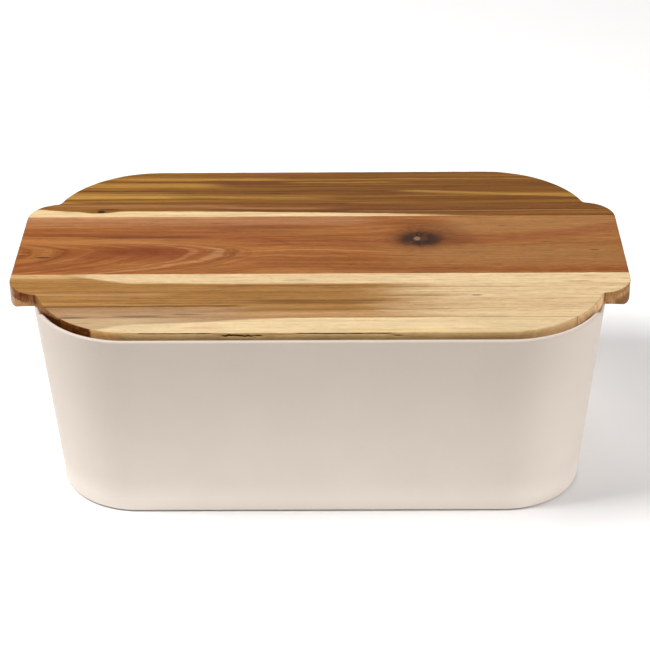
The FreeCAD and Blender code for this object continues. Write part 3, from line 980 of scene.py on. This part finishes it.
# ------------------------------------------------------------------ the moulding
def moulding():
    """Cream matt plastic, a touch paler low down with painted bounce light, with a fine orange peel and
    faint mottling.

    The side of its lowest edge is darkened with painted shadow where it meets the worktop.
    """
    shade = Shade("cream_moulding")
    mottle = shade.noise(shade.x / 38, shade.y / 38, shade.z / 30, 3)
    grain = shade.noise(shade.x / 0.9, shade.y / 0.9, shade.z / 0.9, 2)
    peel = shade.noise(shade.x / 5, shade.y / 5, shade.z / 5, 1)
    # painted bounce light from the worktop: the colour grows paler towards the base
    painted_bounce_light = shade.step(shade.z, 120, 0) * 0.65 + shade.step(shade.z, 26, 2) * 0.42
    tone = painted_bounce_light + mottle * 0.25 + grain * 0.06 + 0.03
    colour = shade.ramp(tone, [(0.59, 0.51, 0.443, 1), (0.67, 0.59, 0.52, 1), (0.80, 0.715, 0.64, 1)])
    # painted contact shadow on the side of the base edge, where it meets the worktop
    painted_contact_shadow = shade.step(shade.z + mottle * 0.6, 1.5, 0.7) * shade.step(abs(shade.normal[2]), 0.97, 0.8)
    colour = shade.mix(colour, (0.24, 0.2, 0.16, 1), painted_contact_shadow * 0.85)
    roughness = 0.55 + mottle * 0.12 + grain * 0.08
    height = grain * 0.35 + peel * 0.65
    return shade.finish(colour, roughness, height, height_mm=0.05, specular=0.3)


# ------------------------------------------------------------------ building the object
tub = make_tub()
tub.data.materials.append(moulding())

staves = [
    ("rear_stave", REAR_GLUE_LINE, BOARD_HALF_WIDTH, MIDDLE_STEPS, rear_timber),
    ("middle_stave", FRONT_GLUE_LINE, REAR_GLUE_LINE, MIDDLE_STEPS, middle_timber),
    ("front_stave", EDGE_GLUE_LINE, FRONT_GLUE_LINE, MIDDLE_STEPS, front_timber),
    ("front_edge_stave", -BOARD_HALF_WIDTH, EDGE_GLUE_LINE, FRONT_EDGE_STEPS, front_edge_timber),
]
for name, front, rear, middle_steps, timber in staves:
    stave = make_stave(name, front, rear, middle_steps)
    stave.data.materials.append(timber())


# ------------------------------------------------------------------ floor, lights and camera
def make_floor():
    """A plain white worktop, 12 metres across."""
    half = 6.0
    mesh = bpy.data.meshes.new("floor")
    corners = [(-half, -half, 0), (half, -half, 0), (half, half, 0), (-half, half, 0)]
    mesh.from_pydata(corners, [], [(0, 1, 2, 3)])
    floor = bpy.data.objects.new("floor", mesh)
    bpy.context.scene.collection.objects.link(floor)
    shade = Shade("white_worktop")
    mottle = shade.noise(shade.x / 60, shade.y / 60, 0.0, 2)
    colour = shade.ramp(mottle + 0.5, [(0.86, 0.85, 0.845, 1), (0.88, 0.87, 0.865, 1)])
    mesh.materials.append(shade.finish(colour, 0.7, mottle, height_mm=0.02, specular=0.2))


def add_light(name, place, target, length, width, power):
    """A soft rectangular light aimed at a point, with its power in watts."""
    lamp = bpy.data.lights.new(name, "AREA")
    lamp.shape = "RECTANGLE"
    lamp.size = length
    lamp.size_y = width
    lamp.energy = power
    light = bpy.data.objects.new(name, lamp)
    light.location = place
    light.rotation_euler = (Vector(target) - Vector(place)).to_track_quat("-Z", "Y").to_euler()
    bpy.context.scene.collection.objects.link(light)


def make_lights():
    """A key light from the left, two fills, and a low card that lifts the front wall's foot."""
    middle_of_bin = (0, 0, 0.05)
    add_light("key", (-1.017, -0.179, 1.475), middle_of_bin, 0.7, 0.7, power=35.3)
    add_light("right_fill", (1.4, -0.4, 1.0), middle_of_bin, 0.7, 0.7, power=18)
    add_light("back_fill", (0, 2.2, 1.6), (0, 0.6, 0), 1.2, 1.2, power=24)
    add_light("front_card", (0, -0.29, 0.02), (0, 0, 0), 0.5, 0.03, power=0.13)
    world = bpy.data.worlds.new("studio")
    world.use_nodes = True
    sky = world.node_tree.nodes["Background"]
    sky.inputs["Color"].default_value = (1, 1, 1, 1)
    sky.inputs["Strength"].default_value = 0.06
    bpy.context.scene.world = world


def make_camera():
    """The camera looks down at the front of the bin from a little to the right."""
    pitch, yaw, roll = (math.radians(angle) for angle in (29.94, -0.79, -0.61))
    target = Vector((0.0025, 0, 0.0748))
    distance = 1.3139
    forward = Vector((math.sin(yaw) * math.cos(pitch), math.cos(yaw) * math.cos(pitch), -math.sin(pitch)))
    level = Vector((math.cos(yaw), -math.sin(yaw), 0))
    upward = level.cross(forward)
    right = level * math.cos(roll) + upward * math.sin(roll)
    top = upward * math.cos(roll) - level * math.sin(roll)
    data = bpy.data.cameras.new("camera")
    data.sensor_width = 36
    data.lens = 113.14
    camera = bpy.data.objects.new("camera", data)
    turned = Matrix((right, top, -forward)).transposed().to_4x4()
    camera.matrix_world = Matrix.Translation(target - forward * distance) @ turned
    bpy.context.scene.collection.objects.link(camera)
    bpy.context.scene.camera = camera


make_floor()
make_lights()
make_camera()
bpy.context.scene.view_settings.view_transform = "Standard"
